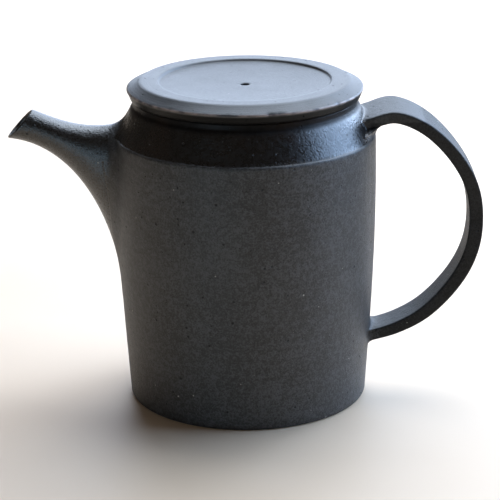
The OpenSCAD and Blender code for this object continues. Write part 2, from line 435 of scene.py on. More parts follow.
@dataclass(frozen=True)
class DarkStoneware:
    """Fired black stoneware: sandy satin wall, wetter shoulder, pale grains, and small pits whose
    near-black colour is painted shade.

    Each gloss is the roughness in the dark and on the light sand. The arris is the edge between
    wall and shoulder, and the slope is how far the shoulder draws in for each step up. The root
    is the corner under the upper end of the strap.
    """

    name: str = "dark_stoneware"
    deep: tuple = (0.004, 0.0036, 0.0033, 1)
    warm: tuple = (0.045, 0.0465, 0.049, 1)
    glaze: tuple = (0.0045, 0.0038, 0.0034, 1)
    iron: tuple = (0.020, 0.0105, 0.006, 1)
    worn: tuple = (0.075, 0.066, 0.058, 1)
    # Near black of the pits: painted shade inside them, as the pits are only bump relief.
    hollow: tuple = (0.0025, 0.0022, 0.002, 1)
    grain: tuple = (0.50, 0.47, 0.42, 1)
    arris_z: float = 105.4
    arris_r: float = 50.3
    neck_r: float = 43.4
    slope: float = 0.62
    root_x: tuple = (47.2, 48.6)
    root_z: tuple = (111.5, 113.0)
    neck_z: tuple = (116.2, 117.2)
    lid_shade_z: tuple = (115.8, 117.4)
    spout_x: tuple = (-56.0, -50.0)
    strap_x: tuple = (52.0, 58.0)
    wall_gloss: tuple = (0.44, 0.62)
    spout_gloss: tuple = (0.24, 0.34)
    strap_gloss: tuple = (0.46, 0.6)
    shoulder_gloss: tuple = (0.25, 0.34)
    sand_mm: float = 0.7
    clump_mm: float = 1.9
    turning_mm: float = 26.0
    peel_mm: float = 0.8
    pits: tuple = (Marks(2.9, 0.64, 0.34), Marks(1.4, 0.33, 0.22))
    grains: Marks = Marks(3.0, 0.42, 0.10)
    dust: Marks = Marks(1.15, 0.2, 0.10)
    ior: float = 1.65

    def build(self) -> bpy.types.Material:
        """Makes the material.

        Returns:
            The material.
        """
        s = Shader(self.name)
        radius, height, across = s.places()
        on_pot, shoulder, under = self.masks(s, radius, height, across)
        sand = s.noise(self.sand_mm, detail=3, roughness=0.75)
        clumps = s.noise(self.clump_mm, detail=2, roughness=0.6)
        turning = s.noise(self.turning_mm, detail=4, roughness=0.7, stretch=(0.4, 0.4, 24))
        pits = s.math("MAXIMUM", *(s.specks(marks) for marks in self.pits))
        grains = s.specks(self.grains)

        colour = s.mix(self.tone(s, sand, clumps, turning), self.deep, self.warm)
        colour = s.mix(s.band(on_pot, 0.0, 1.0, 0.82, 0.0), colour, self.deep)
        pooled = s.mix(s.band(s.noise(19.0), 0.46, 0.62, 0.0, 0.45), self.glaze, self.iron)
        colour = s.mix(s.times(shoulder, 0.92), colour, pooled)
        colour = s.mix(self.rubbed(s, radius, height), colour, self.worn)
        # Painted shade in the pits: they are darkened to near black.
        colour = s.mix(s.times(pits, 0.9), colour, self.hollow)
        pale = s.math("MAXIMUM", s.times(grains, 0.8), s.times(s.specks(self.dust), 0.26))
        s.link(s.mix(pale, colour, self.grain), s.surface.inputs["Base Color"])

        swept_part = s.blend(s.band(across, -5.0, 5.0), s.band(sand, 0.3, 0.7, *self.spout_gloss),
                             s.band(sand, 0.3, 0.7, *self.strap_gloss))
        wall = s.blend(on_pot, swept_part, s.band(sand, 0.3, 0.7, *self.wall_gloss))
        wet = s.add(s.band(clumps, 0.35, 0.65, *self.shoulder_gloss),
                    s.band(height, *self.neck_z, 0, 0.12))
        s.link(s.add(s.blend(shoulder, wall, wet), s.times(pits, 0.3)),
               s.surface.inputs["Roughness"])

        shine = s.times(s.band(across, *self.spout_x, 1.3, 1.0),
                        s.band(across, *self.strap_x, 1.0, 0.75))
        shine = s.times(shine, s.band(under, 0.0, 1.0, 1.0, 0.5))
        shine = s.times(shine, s.band(sand, 0.32, 0.68, 0.42, 0.62))
        s.link(s.blend(shoulder, shine, s.band(height, *self.lid_shade_z, 0.5, 0.1)),
               s.surface.inputs["Specular IOR Level"])
        s.surface.inputs["IOR"].default_value = self.ior

        rough = s.band(shoulder, 0.0, 1.0, 1.0, 0.25)
        open_part = s.times(shoulder, s.band(height, 115.6, 117.2, 1, 0.1))
        peel = s.times(s.noise(self.peel_mm, detail=1), open_part)
        standing = s.minus(s.times(grains, 0.4), pits)
        relief = s.bump(turning, 0.12, 0.4)
        relief = s.bump(s.times(clumps, rough), 0.3, 0.6, relief)
        relief = s.bump(s.times(sand, rough), 0.2, 0.8, relief)
        relief = s.bump(peel, 0.17, 0.9, relief)
        s.link(s.bump(standing, 0.28, 1.0, relief), s.surface.inputs["Normal"])
        return s.material

    def masks(self, s: Shader, radius: Socket, height: Socket, across: Socket
              ) -> tuple[Socket, Socket, Socket]:
        """Shares of the pot's own skin, of its shoulder, and of the root under the strap."""
        rise = s.minus(height, self.arris_z + 0.5)
        cone = s.minus(self.arris_r + 0.1, s.times(rise, self.slope))
        surface = s.math("MAXIMUM", s.math("MINIMUM", cone, self.arris_r + 0.5), self.neck_r)
        proud = s.minus(radius, surface)
        shoulder = s.times(s.band(proud, 0.3, 1.7, 1, 0),
                           s.band(height, self.arris_z - 0.1, self.arris_z + 0.7))
        under = s.times(s.band(across, *self.root_x), s.band(height, *self.root_z, 1, 0))
        shoulder = s.times(shoulder, s.minus(1.0, under))
        return s.band(proud, 0.4, 3.4, 1, 0), shoulder, under

    def tone(self, s: Shader, sand: Socket, clumps: Socket, turning: Socket) -> Socket:
        """Share of the lighter clay colour, from slow patches down to single sand grains."""
        slow = s.add(s.times(s.noise(17.0, detail=3), 0.13), s.times(turning, 0.11))
        fine = s.add(s.times(sand, 0.5), s.times(clumps, 0.26))
        return s.band(s.add(slow, fine), 0.44, 0.58)

    def rubbed(self, s: Shader, radius: Socket, height: Socket) -> Socket:
        """Share of bare clay along the edge between wall and shoulder."""
        edge = s.times(s.near(height, self.arris_z, 0.0, 0.5),
                       s.near(radius, self.arris_r, 0.2, 0.6))
        return s.times(edge, s.band(s.noise(5.0, detail=3), 0.42, 0.64, 0.0, 0.6))


@dataclass(frozen=True)
class LidStoneware:
    """The lid's finish: smoother, greyer clay with turning rings and a rubbed rim, with painted
    shade on its underside and in its pits.
    """

    name: str = "lid_stoneware"
    deep: tuple = (0.016, 0.0155, 0.0158, 1)
    pale: tuple = (0.052, 0.051, 0.052, 1)
    worn: tuple = (0.36, 0.28, 0.25, 1)
    # Near black used as painted shade on the underside and in the pits.
    hollow: tuple = (0.004, 0.0035, 0.003, 1)
    grain: tuple = (0.45, 0.42, 0.38, 1)
    rim_r: float = 45.8
    rim_z: float = 124.1
    under_z: float = 123.6
    outer_r: tuple = (31.0, 39.0)
    rings_per_mm: float = 1.3
    sand_mm: float = 0.5
    patch_mm: float = 14.0
    pits: tuple = (Marks(3.0, 0.6, 0.3), Marks(1.6, 0.3, 0.2))
    grains: Marks = Marks(3.1, 0.3, 0.05)
    ior: float = 1.52

    def build(self) -> bpy.types.Material:
        """Makes the material.

        Returns:
            The material.
        """
        s = Shader(self.name)
        radius, height, _ = s.places()
        rings = s.node("ShaderNodeTexNoise", noise_dimensions="1D")
        s.link(s.times(radius, self.rings_per_mm), rings.inputs["W"])
        rings.inputs["Scale"].default_value = 1.0
        rings.inputs["Detail"].default_value = 3.0
        sand = s.noise(self.sand_mm, detail=3, roughness=0.7)
        tone = s.add(s.times(sand, 0.55),
                     s.times(s.noise(self.patch_mm, detail=3), 0.45))
        # Painted shade under the lid: below a height just under the rim the colour goes to near
        # black and the reflection is weakened.
        below = s.band(height, self.under_z - 0.6, self.under_z, 0.95, 0)
        edge = s.times(s.near(radius, self.rim_r, 0.3, 0.9),
                       s.near(height, self.rim_z, 0.15, 0.6))
        rubbed = s.times(edge, s.band(s.noise(6.0, detail=3), 0.34, 0.6, 0.1, 0.9))
        pits = s.times(s.math("MAXIMUM", *(s.specks(marks) for marks in self.pits)),
                       s.band(radius, *self.outer_r, 0.25, 1.0))

        colour = s.mix(s.band(tone, 0.36, 0.66), self.deep, self.pale)
        colour = s.mix(below, colour, self.hollow)
        colour = s.mix(rubbed, colour, self.worn)
        # Painted shade in the pits: they are darkened to near black.
        colour = s.mix(s.times(pits, 0.9), colour, self.hollow)
        s.link(s.mix(s.specks(self.grains), colour, self.grain), s.surface.inputs["Base Color"])
        s.link(s.add(s.band(sand, 0.3, 0.7, 0.32, 0.5), s.times(pits, 0.5)),
               s.surface.inputs["Roughness"])
        s.link(s.band(below, 0.0, 1.0, 0.5, 0.16), s.surface.inputs["Specular IOR Level"])
        s.surface.inputs["IOR"].default_value = self.ior

        relief = s.bump(rings.outputs["Fac"], 0.1, 0.45)
        relief = s.bump(sand, 0.08, 0.7, relief)
        s.link(s.bump(s.minus(1.0, pits), 0.45, 1.0, relief), s.surface.inputs["Normal"])
        return s.material


@dataclass(frozen=True)
class InnerStoneware:
    """Bare, matt clay inside the pot and under the lid."""

    name: str = "inner_stoneware"
    deep: tuple = (0.012, 0.0105, 0.0095, 1)
    warm: tuple = (0.036, 0.031, 0.027, 1)

    def build(self) -> bpy.types.Material:
        """Makes the material.

        Returns:
            The material.
        """
        s = Shader(self.name)
        sand = s.noise(0.6, detail=3, roughness=0.65)
        turning = s.noise(30.0, detail=3, roughness=0.6, stretch=(0.4, 0.4, 14))
        tone = s.add(s.times(sand, 0.6), s.times(turning, 0.4))
        s.link(s.mix(s.band(tone, 0.36, 0.64), self.deep, self.warm),
               s.surface.inputs["Base Color"])
        s.link(s.band(sand, 0.3, 0.7, 0.6, 0.78), s.surface.inputs["Roughness"])
        relief = s.bump(turning, 0.25, 0.5)
        relief = s.bump(sand, 0.1, 0.6, relief)
        s.link(relief, s.surface.inputs["Normal"])
        return s.material


@dataclass(frozen=True)
class PaleTable:
    """The plain pale surface that the pot stands on."""

    name: str = "pale_table"
    dark: tuple = (0.81, 0.605, 0.42, 1)
    light: tuple = (0.84, 0.635, 0.45, 1)
    patch_mm: float = 90.0

    def build(self) -> bpy.types.Material:
        """Makes the material.

        Returns:
            The material.
        """
        s = Shader(self.name)
        s.link(s.mix(s.band(s.noise(self.patch_mm), 0.3, 0.7), self.dark, self.light),
               s.surface.inputs["Base Color"])
        s.surface.inputs["Roughness"].default_value = 0.55
        return s.material


# --- Geometry Nodes trees ---


class NodeTree(Tree):
    """Helper that builds one Geometry Nodes tree with named inputs."""

    def __init__(self, name: str) -> None:
        """Starts a tree with a geometry input and output.

        Args:
            name: The tree's name.
        """
        self.tree = bpy.data.node_groups.new(name, "GeometryNodeTree")
        self.identifiers: dict[str, str] = {}
        for way in ("INPUT", "OUTPUT"):
            self.tree.interface.new_socket("Geometry", in_out=way,
                                           socket_type="NodeSocketGeometry")
        self.start = self.tree.nodes.new("NodeGroupInput")
        self.end = self.tree.nodes.new("NodeGroupOutput")

    def declare(self, name: str, kind: str) -> None:
        """Adds a named input of a socket type such as NodeSocketFloat."""
        socket = self.tree.interface.new_socket(name, in_out="INPUT", socket_type=kind)
        self.identifiers[name] = socket.identifier

    def given(self, name: str) -> Socket:
        """The output socket of a named input."""
        return self.start.outputs[name]

    def node(self, kind: str, settings: dict | None = None, **inputs: object) -> bpy.types.Node:
        """Adds a node and fills its inputs.

        Args:
            kind: The node's type name.
            settings: Attributes to set on it.
            **inputs: Socket name, with _ for a space, to a socket or a value.

        Returns:
            The new node.
        """
        made = self.tree.nodes.new(kind)
        for key, value in (settings or {}).items():
            setattr(made, key, value)
        for key, value in inputs.items():
            self.link(value, made.inputs[key.replace("_", " ")])
        return made

    def finish(self, geometry: Socket) -> None:
        """Ends the tree in Realize Instances and Set Material."""
        realized = self.node("GeometryNodeRealizeInstances", Geometry=geometry)
        dressed = self.node("GeometryNodeSetMaterial", Geometry=realized.outputs["Geometry"],
                            Material=self.given("Material"))
        self.link(dressed.outputs["Geometry"], self.end.inputs["Geometry"])

    def apply(self, piece: bpy.types.Object, values: dict[str, object]) -> bpy.types.Object:
        """Runs the tree on a piece and keeps the result as a plain mesh.

        Args:
            piece: The piece whose geometry goes in.
            values: Input name to value.

        Returns:
            The same piece with its new mesh.
        """
        modifier = piece.modifiers.new(self.tree.name, "NODES")
        modifier.node_group = self.tree
        for name, value in values.items():
            modifier[self.identifiers[name]] = value
        piece.data.update()
        return baked(piece)


def turned_tree() -> NodeTree:
    """Tree that turns an outline round the pot's axis, as a wheel does.

    The outline's vertices hold a radius in X and a height in Z. A slow wave makes the piece a
    little out of round, and fine rings across it are what the fingers leave. Points close to the
    axis stay where they are.

    Returns:
        The tree.
    """
    wave_across, wave_up = 1.1, 9.0
    still_r = 2.0 * MM
    t = NodeTree("turned_piece")
    for name, kind in (("Rows", "NodeSocketInt"), ("Segments", "NodeSocketInt"),
                       ("Out Of Round", "NodeSocketFloat"), ("Ring Depth", "NodeSocketFloat"),
                       ("Ring Spacing", "NodeSocketFloat"), ("Seed", "NodeSocketFloat"),
                       ("Material", "NodeSocketMaterial")):
        t.declare(name, kind)
    span_x = t.minus(t.given("Rows"), 1)
    grid = t.node("GeometryNodeMeshGrid", Size_X=span_x, Size_Y=t.given("Segments"),
                  Vertices_X=t.given("Rows"), Vertices_Y=t.add(t.given("Segments"), 1))
    place = t.node("ShaderNodeSeparateXYZ", Vector=t.node("GeometryNodeInputPosition").outputs[0])
    row = t.math("ROUND", t.add(place.outputs["X"], t.times(span_x, 0.5)))
    turn = t.add(t.math("DIVIDE", place.outputs["Y"], t.given("Segments")), 0.5)
    angle = t.times(turn, 2 * math.pi)
    outline = t.node("GeometryNodeSampleIndex", {"data_type": "FLOAT_VECTOR", "domain": "POINT"},
                     Geometry=t.given("Geometry"),
                     Value=t.node("GeometryNodeInputPosition").outputs[0], Index=row)
    point = t.node("ShaderNodeSeparateXYZ", Vector=outline.outputs[0])
    radius, height = point.outputs["X"], point.outputs["Z"]
    around = t.node("ShaderNodeCombineXYZ", X=t.times(t.math("COSINE", angle), wave_across),
                    Y=t.times(t.math("SINE", angle), wave_across),
                    Z=t.add(t.times(height, wave_up), t.given("Seed")))
    wave = t.node("ShaderNodeTexNoise", Vector=around.outputs[0], Scale=1.0, Detail=1.0)
    spiral = t.add(t.math("DIVIDE", height, t.given("Ring Spacing")), turn)
    rings = t.node("ShaderNodeTexNoise", {"noise_dimensions": "1D"},
                   W=t.add(spiral, t.given("Seed")), Scale=1.0, Detail=1.0)
    dent = t.add(t.times(wave.outputs[0], t.given("Out Of Round")),
                 t.times(rings.outputs[0], t.given("Ring Depth")))
    kept = t.math("MAXIMUM", t.minus(radius, dent), 0.0)
    used = t.math("GREATER_THAN", radius, still_r)
    kept = t.add(t.times(kept, used), t.times(radius, t.minus(1.0, used)))
    made = t.node("ShaderNodeCombineXYZ", X=t.times(kept, t.math("COSINE", angle)),
                  Y=t.times(kept, t.math("SINE", angle)), Z=height)
    moved = t.node("GeometryNodeSetPosition", Geometry=grid.outputs["Mesh"],
                   Position=made.outputs[0])
    merged = t.node("GeometryNodeMergeByDistance", Geometry=moved.outputs["Geometry"],
                    Distance=1e-6)
    t.finish(merged.outputs["Geometry"])
    return t


# --- The pot ---


@dataclass
class Finishes:
    """Every material of the teapot, made once."""

    body: bpy.types.Material = field(default_factory=lambda: DarkStoneware().build())
    lid: bpy.types.Material = field(default_factory=lambda: LidStoneware().build())
    inner: bpy.types.Material = field(default_factory=lambda: InnerStoneware().build())


@dataclass(frozen=True)
class Wheel:
    """What turning leaves on a piece: steps round it, slow wave, and finger rings, in mm."""

    segments: int
    out_of_round: float
    ring_depth: float
    ring_spacing: float
    seed: float


@dataclass
class PotShell:
    """The thrown pot: floor, swelling wall, sloping shoulder and neck.

    The letters r, z, t, w and h stand for a radius, a height above the foot, a thickness, a
    width and a height of the pour hole.
    """

    rim_z: float
    foot_r: float = 46.9
    belly_r: float = 50.8
    belly_z: float = 88.0
    arris_z: float = 105.4
    arris_round: float = 1.0
    neck_r: float = 43.4
    neck_z: float = 117.2
    mouth_r: float = 37.4
    wall_t: float = 3.6
    floor_t: float = 5.0
    foot_bevel: float = 1.0
    floor_bend_r: float = 9.0
    lip_r: float = 0.8
    pour_z: float = 82.0
    pour_w: float = 18.0
    pour_h: float = 6.0
    longest_step: float = 2.2
    wheel: Wheel = Wheel(224, out_of_round=0.12, ring_depth=0.08, ring_spacing=4.6, seed=3.0)

    def wall_radius(self, z: float) -> float:
        """Radius of the outside of the wall at a height."""
        return self.foot_r + (self.belly_r - self.foot_r) * math.sin(math.pi / 2 * z / self.belly_z)

    def outside(self) -> list:
        """Outline of the outside, from the base to the rim."""
        arris_r = self.wall_radius(self.arris_z)
        slope = math.degrees(math.atan2(self.neck_z - self.arris_z, arris_r - self.neck_r))
        round_centre = (arris_r - self.arris_round, self.arris_z - 0.6 * self.arris_round)
        foot = [(self.foot_r - 1.6, 0.0), (self.foot_r - 0.7, 0.12), (self.foot_r - 0.2, 0.45)]
        wall = [(self.wall_radius(z), z)
                for z in np.linspace(self.foot_bevel, self.arris_z - 1.0, 40)]
        rounding = arc(round_centre, self.arris_round, 0, 90 - (90 - slope) * 0.6, 6)[2:]
        neck = [(self.neck_r + 0.9, self.neck_z - 0.3), (self.neck_r + 0.35, self.neck_z + 0.3),
                (self.neck_r, self.neck_z + 1.2)]
        lip = arc((self.neck_r - self.lip_r, self.rim_z - self.lip_r), self.lip_r, 0, 90, 4)
        return foot + wall + rounding + neck + lip

    def inside(self) -> list:
        """Outline of the hollow, from the rim down to the middle of the floor."""
        corner = self.floor_bend_r
        shoulder_r = self.wall_radius(self.arris_z) - self.wall_t
        lip = arc((self.mouth_r + self.lip_r, self.rim_z - self.lip_r), self.lip_r, 90, 180, 4)
        wall = [(self.wall_radius(z) - self.wall_t, z)
                for z in np.linspace(self.arris_z - 8, self.floor_t + corner + 6, 24)]
        bend = arc((self.foot_r - self.wall_t - corner + 0.6, self.floor_t + corner), corner,
                   0, -90, 10)
        return (lip + [(self.mouth_r, self.neck_z - 2), (self.mouth_r + 0.5, self.neck_z - 3.2),
                       (shoulder_r - 0.6, self.arris_z - 2.4), (shoulder_r, self.arris_z - 3.6)]
                + wall + bend)

    def build(self, tree: NodeTree, finishes: Finishes) -> bpy.types.Object:
        """Turns the pot and opens the wall behind the spout.

        Args:
            tree: The tree that turns an outline.
            finishes: The materials.

        Returns:
            The finished pot.
        """
        outline = refine([(0, 0)] + self.outside() + self.inside() + [(0, self.floor_t)],
                         self.longest_step)
        pot = turn_outline("thrown_pot", outline, tree, finishes.body, self.wheel)
        cutter = self.pour_cutter()
        cut = pot.modifiers.new("pour_hole", "BOOLEAN")
        cut.operation = "DIFFERENCE"
        cut.solver = "EXACT"
        cut.object = cutter
        baked(pot)
        bpy.data.objects.remove(cutter)
        self.dress(pot, finishes)
        return soften(pot, 42)

    def pour_cutter(self) -> bpy.types.Object:
        """Slug with rounded ends that stands for the hole behind the spout."""
        half, radius = self.pour_h / 2, self.pour_w / 2
        ends = arc((0, self.pour_z + half), radius, 0, 180, 20)
        ends += arc((0, self.pour_z - half), radius, 180, 360, 20)
        rings = np.array([[(x, y, z) for y, z in ends] for x in (-60.0, -30.0)])
        return outward(mesh_object("pour_cutter", *skin(rings, capped=True)))

    def dress(self, pot: bpy.types.Object, finishes: Finishes) -> None:
        """Gives the hollow of the pot the inner finish.

        Args:
            pot: The turned pot.
            finishes: The materials.
        """
        mesh = pot.data
        mesh.materials.clear()
        mesh.materials.append(finishes.body)
        mesh.materials.append(finishes.inner)
        count = len(mesh.polygons)
        centres = np.empty(count * 3)
        mesh.polygons.foreach_get("center", centres)
        centres = centres.reshape(-1, 3) / MM
        radius = np.hypot(centres[:, 0], centres[:, 1])
        outer = np.interp(centres[:, 2], [p[1] for p in self.outside()],
                          [p[0] for p in self.outside()])
        hollow = (radius < outer - 0.6 * self.wall_t) & (centres[:, 2] > self.floor_t - 0.2)
        hollow &= centres[:, 2] < self.rim_z - 0.9
        mesh.polygons.foreach_set("material_index", hollow.astype(np.int32))
        mesh.update()


def turn_outline(name: str, outline: np.ndarray, tree: NodeTree, material: bpy.types.Material,
                 wheel: Wheel) -> bpy.types.Object:
    """Turns an outline into a closed piece.

    Args:
        name: The piece's name.
        outline: Radius and height of each point, in millimetres.
        tree: The tree that turns an outline.
        material: The finish of the piece.
        wheel: What the turning leaves on it.

    Returns:
        The turned piece.
    """
    points = [(r, 0.0, z) for r, z in outline]
    mesh = bpy.data.meshes.new(name)
    edges = [(i, i + 1) for i in range(len(points) - 1)]
    mesh.from_pydata((np.array(points) * MM).tolist(), edges, [])
    made = bpy.data.objects.new(name, mesh)
    bpy.context.scene.collection.objects.link(made)
    tree.apply(made, {
        "Rows": len(points), "Segments": wheel.segments,
        "Out Of Round": wheel.out_of_round * MM, "Ring Depth": wheel.ring_depth * MM,
        "Ring Spacing": wheel.ring_spacing * MM, "Seed": wheel.seed, "Material": material,
    })
    return outward(made)


@dataclass
class PotSurface:
    """The outside of the pot as a distance field, for what is luted to it."""

    outline: np.ndarray

    def measure(self, points: np.ndarray) -> tuple[np.ndarray, np.ndarray]:
        """Distance to the pot and the way out of it.

        Args:
            points: Positions, with x, y and z last.

        Returns:
            The distance, negative inside, and the outward unit vector at the nearest point.
        """
        flat = points.reshape(-1, 3)
        radius = np.hypot(flat[:, 0], flat[:, 1])
        here = np.stack([radius, flat[:, 2]], 1)
        start, step = self.outline[:-1], np.diff(self.outline, axis=0)
        length = np.maximum((step**2).sum(1), 1e-12)
        along = ((here[:, None] - start) * step).sum(2) / length
        nearest = start + np.clip(along, 0, 1)[..., None] * step
        gaps = np.linalg.norm(here[:, None] - nearest, axis=2)
        pick = gaps.argmin(1)
        rows = np.arange(len(flat))
        chosen = step[pick]
        out = unit(np.stack([chosen[:, 1], -chosen[:, 0]], 1))
        side = np.sign(((here - nearest[rows, pick]) * out).sum(1))
        away = np.stack([flat[:, 0], flat[:, 1]], 1) / np.maximum(radius, 1e-9)[:, None]
        normal = np.concatenate([away * out[:, :1], out[:, 1:]], 1)
        return ((gaps[rows, pick] * side).reshape(points.shape[:-1]),
                normal.reshape(points.shape))

    def settle(self, points: np.ndarray, above: float = 0.0) -> np.ndarray:
        """Moves points onto the surface, or a little above it."""
        for _ in range(3):
            gap, out = self.measure(points)
            points = points + out * (above - gap)[..., None]
        return points

    def lift(self, points: np.ndarray, above: float) -> np.ndarray:
        """Moves out the points that lie lower than a height above the surface."""
        gap, out = self.measure(points)
        return points + out * np.maximum(above - gap, 0)[..., None]


def cut_at(ways: np.ndarray, share: np.ndarray) -> np.ndarray:
    """Points at fractional steps along each way.

    Args:
        ways: Array of sides by steps by 3.
        share: Fractional step for each side, or sides by count.

    Returns:
        The points, with the shape of share and 3 last.
    """
    low = np.clip(np.floor(share).astype(int), 0, ways.shape[1] - 2)
    part = (share - low)[..., None]
    sides = np.arange(ways.shape[0])
    sides = sides if share.ndim == 1 else sides[:, None]
    return ways[sides, low] * (1 - part) + ways[sides, low + 1] * part


@dataclass
class Luting:
    """Blends the end of a swept piece into the pot, as clay rolled into the corner does."""

    surface: PotSurface
    steps: int = 14
    feather: float = 1.7

    def meet(self, ways: np.ndarray, reach: np.ndarray
             ) -> tuple[np.ndarray, np.ndarray, np.ndarray]:
        """Finds where each way enters the pot, and where its blend begins.

        Args:
            ways: Array of sides by steps by 3, from the free end into the pot.
            reach: Length of the blend for each side.

        Returns:
            The fractional step of the blend's start, of the entry, and the entry points.
        """
        gap, _ = self.surface.measure(ways)
        inside = gap < 0
        first = np.where(inside.any(1), inside.argmax(1), ways.shape[1] - 1)
        first = np.maximum(first, 1)
        sides = np.arange(len(ways))
        before, after = gap[sides, first - 1], gap[sides, first]
        entry = first - 1 + before / np.maximum(before - after, 1e-9)
        lengths = np.linalg.norm(np.diff(ways, axis=1), axis=2)
        travelled = np.concatenate([np.zeros((len(ways), 1)), lengths.cumsum(1)], 1)
        begin = np.empty(len(ways))
        for i in sides:
            steps = np.arange(ways.shape[1])
            at_entry = np.interp(entry[i], steps, travelled[i])
            begin[i] = np.interp(at_entry - reach[i], travelled[i], steps)
        return begin, entry, cut_at(ways, entry)

    def rings(self, ways: np.ndarray, begin: np.ndarray, hit: np.ndarray, middle: np.ndarray,
              reach: np.ndarray, fill: np.ndarray) -> np.ndarray:
        """Rings of the blend, from the swept piece out over the pot.

        Args:
            ways: The ways along the swept piece.
            begin: Fractional step at which the blend starts.
            hit: Entry points.
            middle: Centre of the swept piece at its entry.
            reach: Length of the blend for each side.
            fill: Share by which each side is filled up towards a straight web.

        Returns:
            Array of rings by sides by 3.
        """
        start = cut_at(ways, begin)
        onward = unit(cut_at(ways, begin + 0.5) - cut_at(ways, np.maximum(begin - 0.5, 0)))
        _, out = self.surface.measure(hit)
        spread = hit - middle
        spread -= (spread * out).sum(1, keepdims=True) * out
        end = self.surface.settle(hit + unit(spread) * reach[:, None])
        run = np.linalg.norm(hit - start, axis=1, keepdims=True)
        straight, fill = end - start, fill[:, None]
        first = start + onward * run * 2 / 3
        first = first + (start + straight / 3 - first) * fill
        second = end + (hit - end) * 2 / 3
        second = second + (start + straight * 2 / 3 - second) * fill
        u = np.linspace(0, 1, self.steps + 1)[:, None, None]
        rings = ((1 - u) ** 3 * start + 3 * u * (1 - u) ** 2 * first
                 + 3 * u**2 * (1 - u) * second + u**3 * end)
        rings = self.surface.lift(rings, -0.05)
        beyond = [self.surface.settle(end + unit(spread) * self.feather * k, -0.06 - 0.05 * k * k)
                  for k in (1.0, 2.0, 3.0)]
        rings[-1] = self.surface.settle(rings[-1], -0.05)
        return np.concatenate([rings, np.array(beyond)])


@dataclass
class Spout:
    """The tall flared spout, drawn as a fan of rings from its mouth to the pot.

    Its upper and its lower edge are curves from the mouth to the root, as distance from the
    pot's axis and height.
    """

    mouth_x: float
    mouth_z: float
    mouth_back_x: float = 82.5
    mouth_low_z: float = 104.6
    top: tuple = ((72, 111), (61, 106), (44, 111))
    bottom: tuple = ((73, 103), (54, 84), (48.6, 42))
    tip_wall: float = 1.9
    root_wall: float = 2.8
    tip_w: float = 6.4
    root_w: float = 13.0
    egg: float = 0.28
    lip_share: float = 0.02
    reach_top: float = 5.0
    reach_side: float = 8.0
    reach_bottom: float = 12.0
    sides: int = 112
    steps: int = 72

    @classmethod
    def from_frame(cls) -> "Spout":
        """The spout whose mouth is where the CAD has it."""
        low, high = cad_corners("spout")
        return cls(mouth_x=-low[0], mouth_z=high[2])

    def ring(self, t: float, inset: float) -> np.ndarray:
        """Ring of the spout.

        Args:
            t: Share of the way from the mouth to the pot.
            inset: How far the ring is drawn in.

        Returns:
            The ring's points, as rows.
        """
        high = bezier([(self.mouth_back_x, self.mouth_z), *self.top], np.array([t]))[0]
        low = bezier([(self.mouth_x, self.mouth_low_z), *self.bottom], np.array([t]))[0]
        tall = np.linalg.norm(high - low)
        along, middle = (high - low) / tall, (high + low) / 2
        half_w = self.tip_w + (self.root_w - self.tip_w) * t**2.2 - inset
        a = np.linspace(0, 2 * np.pi, self.sides, endpoint=False)
        side = middle + along * ((tall / 2 - inset) * np.cos(a))[:, None]
        width = half_w * np.sin(a) * (1 + self.egg * t * np.cos(a))
        return np.stack([-side[:, 0], width, side[:, 1]], 1)

    def wall(self, t: float) -> float:
        """Thickness of the wall at a share of the way from the mouth."""
        return self.tip_wall + (self.root_wall - self.tip_wall) * min(1.0, 2 * t)

    def reach(self) -> np.ndarray:
        """Length of the blend for each side of the ring."""
        a = np.linspace(0, 2 * np.pi, self.sides, endpoint=False)
        high = np.clip(np.cos(a), 0, 1) ** 2
        low = np.clip(-np.cos(a), 0, 1) ** 2
        return (self.reach_side + (self.reach_top - self.reach_side) * high
                + (self.reach_bottom - self.reach_side) * low)

    def lip(self) -> np.ndarray:
        """Rounded edge of the mouth, from the outside to the inside."""
        half = self.tip_wall / 2
        return np.array([self.ring(self.lip_share * (1 - math.sin(turn)),
                                   half - half * math.cos(turn))
                         for turn in np.linspace(0, np.pi, 11)])

    def ways(self, inset: Callable[[float], float]) -> np.ndarray:
        """Ways from the mouth into the pot, drawn in by an inset that may vary along them."""
        shares = np.linspace(self.lip_share, 1, self.steps)
        return np.array([self.ring(t, inset(t)) for t in shares]).transpose(1, 0, 2)

    def build(self, luting: Luting, finishes: Finishes) -> list:
        """Makes the spout and the clay round its foot.

        Args:
            luting: Blends the spout into the pot.
            finishes: The materials.

        Returns:
            The spout and its luting.
        """
        ways, bore_ways = self.ways(lambda t: 0), self.ways(self.wall)
        hidden_ways, deep_ways = self.ways(lambda t: 0.2), self.ways(lambda t: 0.8)
        reach = self.reach()
        begin, entry, hit = luting.meet(ways, reach)
        free = np.array([cut_at(ways, begin * k) for k in np.linspace(0, 1, 46)])
        hidden = np.array([cut_at(hidden_ways, begin + (entry - begin) * k)
                           for k in (0.3, 0.7, 1.2)])
        _, bore_entry, _ = luting.meet(bore_ways, reach)
        inner = np.array([cut_at(bore_ways, bore_entry * k) for k in np.linspace(1, 0, 40)])
        rings = np.concatenate([self.lip()[::-1], free[1:], hidden, inner[:-1]])
        spout = swept("flared_spout", rings, sharp=50)
        collar = luting.rings(ways, begin, hit, hit.mean(0), reach, np.zeros(self.sides))
        behind = np.array([cut_at(deep_ways, begin + (entry - begin) * k)
                           for k in np.linspace(1, 0, 5)])
        clay = swept("spout_clay_roll", np.concatenate([collar, behind]), sharp=75)
        for piece in (spout, clay):
            piece.data.materials.append(finishes.body)
        return [spout, clay]


